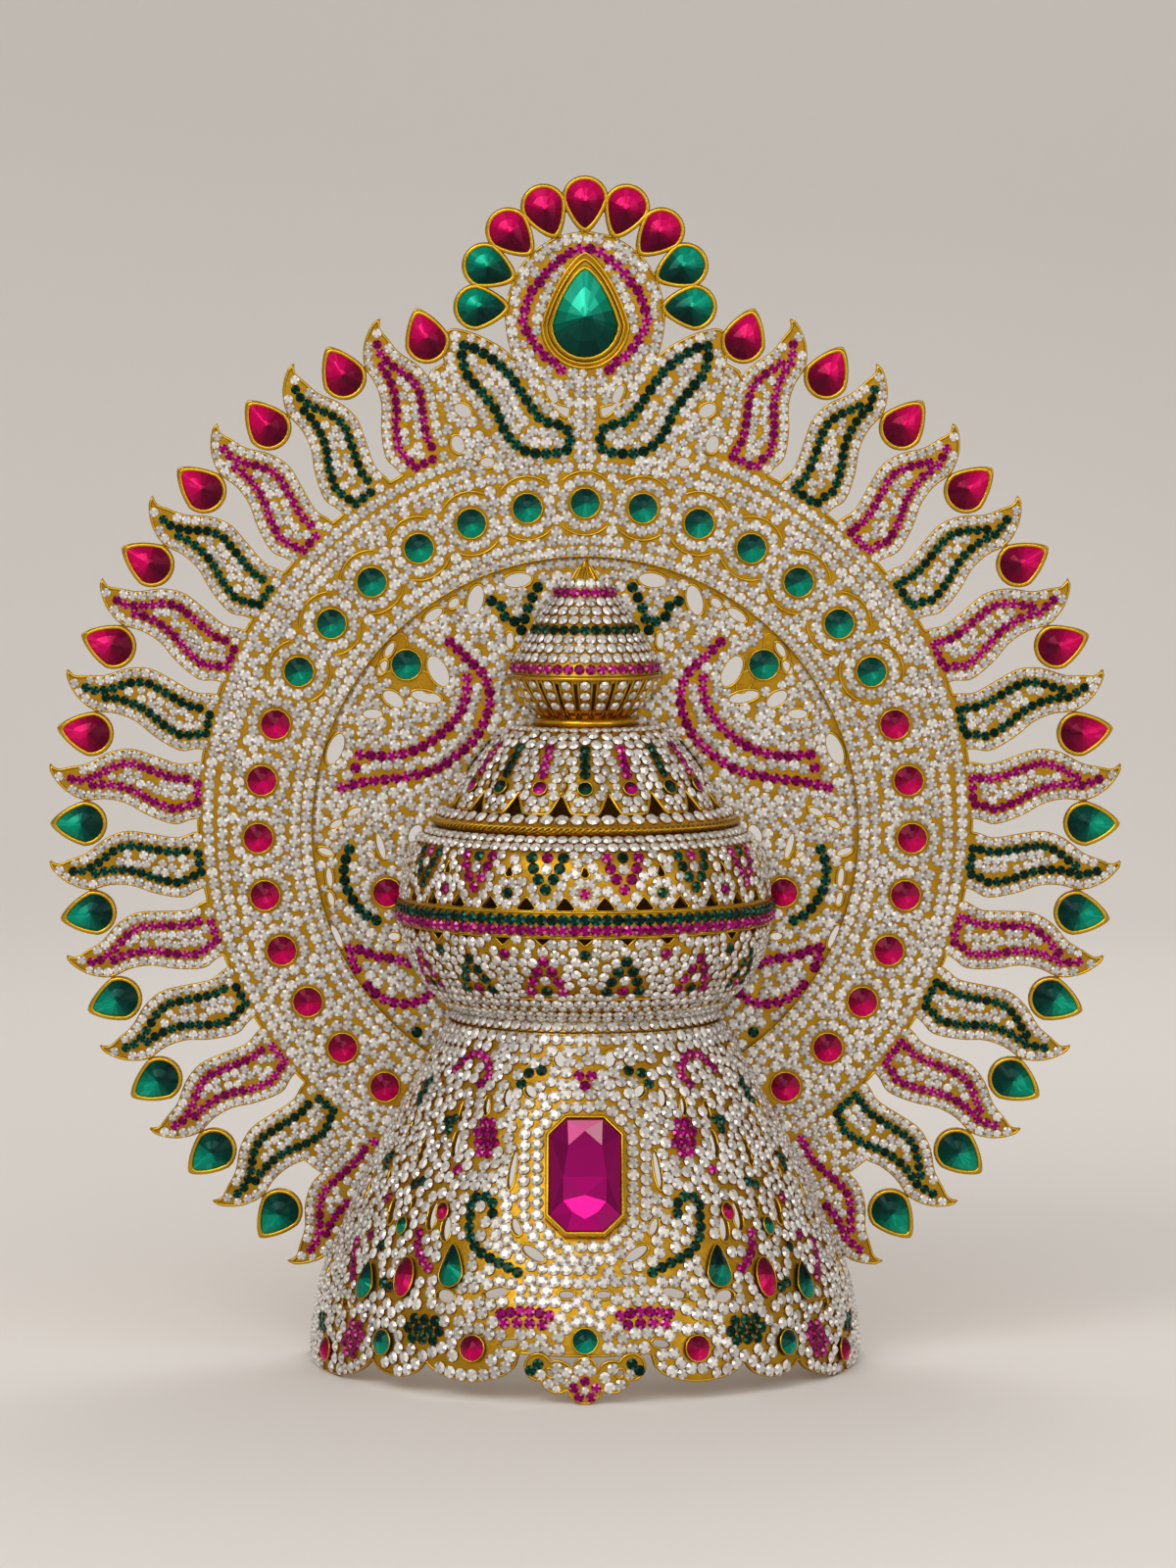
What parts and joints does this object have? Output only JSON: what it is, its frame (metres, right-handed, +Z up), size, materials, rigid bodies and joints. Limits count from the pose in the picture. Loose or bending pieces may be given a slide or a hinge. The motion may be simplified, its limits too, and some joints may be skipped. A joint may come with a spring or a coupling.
{
  "type": "deity crown",
  "caption": "Pierced gilt crown for a deity image: half-round skirt and pot before a round halo of flame rays with a pear-stone crest, open below and behind for the head.",
  "frame": {"origin": "on the surface it stands on, under the middle of the crown's box", "axes": "+Z up to the crest, +Y to the back of the halo, +X to the right as seen from the front"},
  "size_m": [0.2996, 0.0855, 0.3299],
  "materials": {
    "gilt_plate": "cast and gilded, satin with burnished edges",
    "gilt_body": "gilded sheet, bright with darker recesses",
    "gilt_trim": "polished gilding",
    "clear_crystal": "foil-backed clear cut glass",
    "ruby_glass": "foil-backed cut glass",
    "emerald_glass": "foil-backed cut glass",
    "magenta_glass": "foil-backed cut glass"
  },
  "bodies": {
    "root": {"halo_plate": "gilt_plate", "scroll_panel": "gilt_plate", "skirt": "gilt_body", "neck_collar": "gilt_trim", "bowl_lower": "gilt_body", "bowl_upper": "gilt_body", "brim_ring": "gilt_trim", "petal_dome": "gilt_body", "bulb": "gilt_trim", "tier_cone": "gilt_body", "finial_tip": "gilt_trim", "gem_frame": "gilt_trim", "hem_pendant": "gilt_trim", "front_gem": "magenta_glass", "crest_gem": "emerald_glass", "crest_pear_1": "emerald_glass", "crest_pear_2": "emerald_glass", "crest_pear_3": "ruby_glass", "crest_pear_4": "ruby_glass", "crest_pear_5": "ruby_glass", "crest_pear_6": "ruby_glass", "crest_pear_7": "ruby_glass", "crest_pear_8": "emerald_glass", "crest_pear_9": "emerald_glass", "rim_pear_right_1": "ruby_glass", "rim_pear_right_2": "ruby_glass", "rim_pear_right_3": "ruby_glass", "rim_pear_right_4": "ruby_glass", "rim_pear_right_5": "ruby_glass", "rim_pear_right_6": "ruby_glass", "rim_pear_right_7": "ruby_glass", "rim_pear_right_8": "emerald_glass", "rim_pear_right_9": "emerald_glass", "rim_pear_right_10": "emerald_glass", "rim_pear_right_11": "emerald_glass", "rim_pear_right_12": "emerald_glass", "rim_pear_right_13": "emerald_glass", "panel_emerald_right": "emerald_glass", "panel_ruby_right": "ruby_glass", "drop_gems_right": "emerald_glass", "ring_rubies_right": "ruby_glass", "rim_pear_left_1": "ruby_glass", "rim_pear_left_2": "ruby_glass", "rim_pear_left_3": "ruby_glass", "rim_pear_left_4": "ruby_glass", "rim_pear_left_5": "ruby_glass", "rim_pear_left_6": "ruby_glass", "rim_pear_left_7": "ruby_glass", "rim_pear_left_8": "emerald_glass", "rim_pear_left_9": "emerald_glass", "rim_pear_left_10": "emerald_glass", "rim_pear_left_11": "emerald_glass", "rim_pear_left_12": "emerald_glass", "rim_pear_left_13": "emerald_glass", "panel_emerald_left": "emerald_glass", "panel_ruby_left": "ruby_glass", "drop_gems_left": "emerald_glass", "ring_rubies_left": "ruby_glass", "ring_emeralds": "emerald_glass", "hem_gems": "ruby_glass"}
  },
  "joints": []
}
